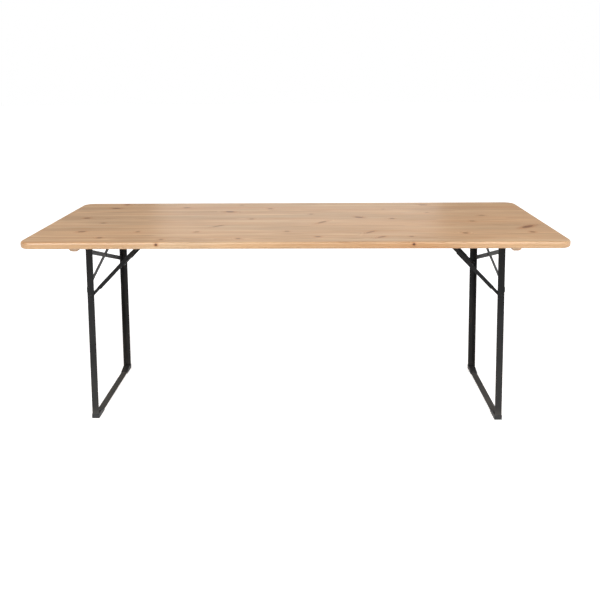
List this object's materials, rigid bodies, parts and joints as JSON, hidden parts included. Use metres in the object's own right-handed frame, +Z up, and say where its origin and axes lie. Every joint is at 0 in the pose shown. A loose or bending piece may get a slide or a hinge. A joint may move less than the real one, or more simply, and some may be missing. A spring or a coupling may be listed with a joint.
{
  "type": "folding picnic table",
  "caption": "Long folding table: glued board top with a rounded edge on two braced angle-steel leg frames that fold flat under it.",
  "frame": {"origin": "on the floor under the middle of the top", "axes": "+X along the table to its right end, +Y to its rear, +Z up"},
  "size_m": [2.2, 0.8, 0.815],
  "materials": {
    "pine": "satin varnish",
    "powder_coat": "satin powder coat",
    "zinc": "zinc plated, dull",
    "spring_steel": "oiled spring steel",
    "cap_plastic": "moulded, fine texture"
  },
  "bodies": {
    "top": {"plank_1": "pine", "plank_2": "pine", "plank_3": "pine", "plank_4": "pine", "plank_5": "pine", "plank_6": "pine", "plank_7": "pine", "plank_8": "pine", "left_batten": "pine", "left_lock_clip": "spring_steel", "left_front_hinge_bracket": "powder_coat", "left_front_hinge_pin": "powder_coat", "left_front_guide_rail": "powder_coat", "left_rear_hinge_bracket": "powder_coat", "left_rear_hinge_pin": "powder_coat", "left_rear_guide_rail": "powder_coat", "right_batten": "pine", "right_lock_clip": "spring_steel", "right_front_hinge_bracket": "powder_coat", "right_front_hinge_pin": "powder_coat", "right_front_guide_rail": "powder_coat", "right_rear_hinge_bracket": "powder_coat", "right_rear_hinge_pin": "powder_coat", "right_rear_guide_rail": "powder_coat"},
    "left_leg_frame": {"left_floor_bar": "powder_coat", "left_inner_brace": "powder_coat", "left_outer_brace": "powder_coat", "left_brace_rivet": "powder_coat", "left_front_leg": "powder_coat", "left_front_foot_cap": "cap_plastic", "left_front_strut_bolt": "powder_coat", "left_front_strut_washer": "zinc", "left_rear_leg": "powder_coat", "left_rear_foot_cap": "cap_plastic", "left_rear_strut_bolt": "powder_coat", "left_rear_strut_washer": "zinc"},
    "left_struts": {"left_front_strut": "powder_coat", "left_front_strut_rivet": "powder_coat", "left_rear_strut": "powder_coat", "left_rear_strut_rivet": "powder_coat"},
    "left_slider": {"left_tie_rod": "zinc"},
    "right_leg_frame": {"right_floor_bar": "powder_coat", "right_inner_brace": "powder_coat", "right_outer_brace": "powder_coat", "right_brace_rivet": "powder_coat", "right_front_leg": "powder_coat", "right_front_foot_cap": "cap_plastic", "right_front_strut_bolt": "powder_coat", "right_front_strut_washer": "zinc", "right_rear_leg": "powder_coat", "right_rear_foot_cap": "cap_plastic", "right_rear_strut_bolt": "powder_coat", "right_rear_strut_washer": "zinc"},
    "right_struts": {"right_front_strut": "powder_coat", "right_front_strut_rivet": "powder_coat", "right_rear_strut": "powder_coat", "right_rear_strut_rivet": "powder_coat"},
    "right_slider": {"right_tie_rod": "zinc"}
  },
  "joints": [
    {"name": "left_leg_fold", "type": "hinge", "parent": "top", "child": "left_leg_frame", "pos_m": [-0.864, 0, 0.767], "axis": [0, -1, 0], "range_deg": [0, 90]},
    {"name": "left_strut_swing", "type": "hinge", "parent": "left_leg_frame", "child": "left_struts", "pos_m": [-0.864, 0, 0.541], "axis": [0, 1, 0], "range_deg": [0, 136.3]},
    {"name": "left_rod_slide", "type": "slide", "parent": "top", "child": "left_slider", "axis": [1, 0, 0], "range_m": [0, 0.3227]},
    {"name": "right_leg_fold", "type": "hinge", "parent": "top", "child": "right_leg_frame", "pos_m": [0.864, 0, 0.767], "axis": [0, 1, 0], "range_deg": [0, 90]},
    {"name": "right_strut_swing", "type": "hinge", "parent": "right_leg_frame", "child": "right_struts", "pos_m": [0.864, 0, 0.541], "axis": [0, -1, 0], "range_deg": [0, 136.3]},
    {"name": "right_rod_slide", "type": "slide", "parent": "top", "child": "right_slider", "axis": [-1, 0, 0], "range_m": [0, 0.3227]}
  ],
  "couplings": [
    {"joint": "left_strut_swing", "follows": "left_leg_fold", "ratio": 1.5144},
    {"joint": "left_rod_slide", "follows": "left_leg_fold", "m_per_rad": 0.20539},
    {"joint": "right_strut_swing", "follows": "right_leg_fold", "ratio": 1.5144},
    {"joint": "right_rod_slide", "follows": "right_leg_fold", "m_per_rad": 0.20539}
  ]
}
